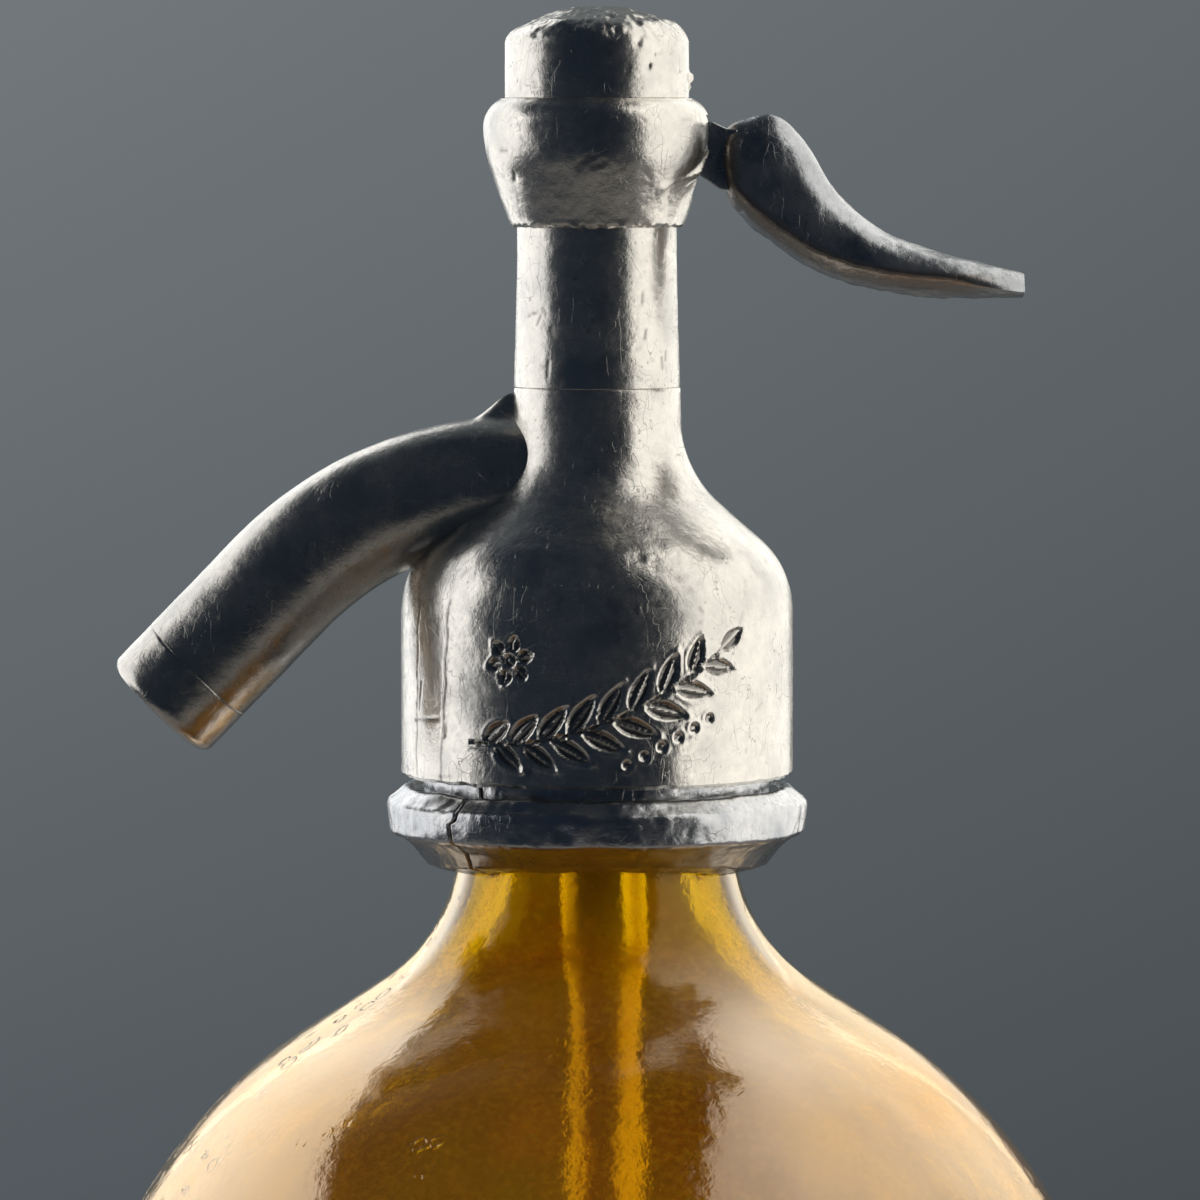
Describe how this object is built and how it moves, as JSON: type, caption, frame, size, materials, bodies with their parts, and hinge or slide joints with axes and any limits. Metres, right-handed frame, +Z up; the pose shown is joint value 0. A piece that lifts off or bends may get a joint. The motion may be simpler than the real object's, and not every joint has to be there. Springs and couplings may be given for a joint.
{
  "type": "soda siphon",
  "caption": "Thick amber glass siphon bottle with a cast pewter head, a curved spout, a thumb lever on top and a sprung valve inside.",
  "frame": {"origin": "centre of the bottle's base, on the plane that it stands on", "axes": "+Z up along the bottle's axis, -X towards the spout, +X towards the lever, +Y away from the side with the ring's front split"},
  "size_m": [0.112, 0.112, 0.32],
  "materials": {
    "amber_glass": "thick amber glass with small bubbles",
    "tube_glass": "plain glass tube",
    "head_pewter": "cast tin alloy, worn satin with pits and scratches",
    "ring_pewter": "cast tin alloy, dull and darkened",
    "lever_pewter": "cast tin alloy, worn bright along its edges",
    "brass": "turned",
    "steel": "drawn rod",
    "spring_steel": "spring wire",
    "rubber": "moulded"
  },
  "bodies": {
    "siphon": {"glass_bottle": "amber_glass", "dip_tube": "tube_glass", "split_ring_left": "ring_pewter", "split_ring_right": "ring_pewter", "neck_gasket": "rubber", "tube_holder": "brass", "tube_seal": "rubber", "head_body": "head_pewter", "valve_seat": "brass", "spout_tube": "head_pewter", "spout_nozzle": "head_pewter", "gland_packing": "rubber", "gland_ring": "brass", "valve_column": "head_pewter", "spring_retainer": "brass", "lever_housing": "head_pewter", "top_cap": "head_pewter", "lever_pin": "steel", "valve_spring": "spring_steel"},
    "valve": {"valve_rod": "brass", "valve_washer": "rubber", "washer_cup": "brass", "washer_screw": "brass", "spring_washer": "brass", "lift_eye": "brass"},
    "lever": {"lever": "lever_pewter"}
  },
  "joints": [
    {"name": "lever_press", "type": "hinge", "parent": "siphon", "child": "lever", "pos_m": [0.0095, 0, 0.3047], "axis": [0, 1, 0], "range_deg": [0, 20], "stiffness_Nm_per_rad": 0.2, "springref_deg": -28.65},
    {"name": "valve_lift", "type": "slide", "parent": "siphon", "child": "valve", "axis": [0, 0, 1], "range_m": [0, 0.0034], "deforming": ["valve_spring"]}
  ],
  "couplings": [
    {"joint": "valve_lift", "follows": "lever_press", "m_per_rad": 0.0095}
  ]
}
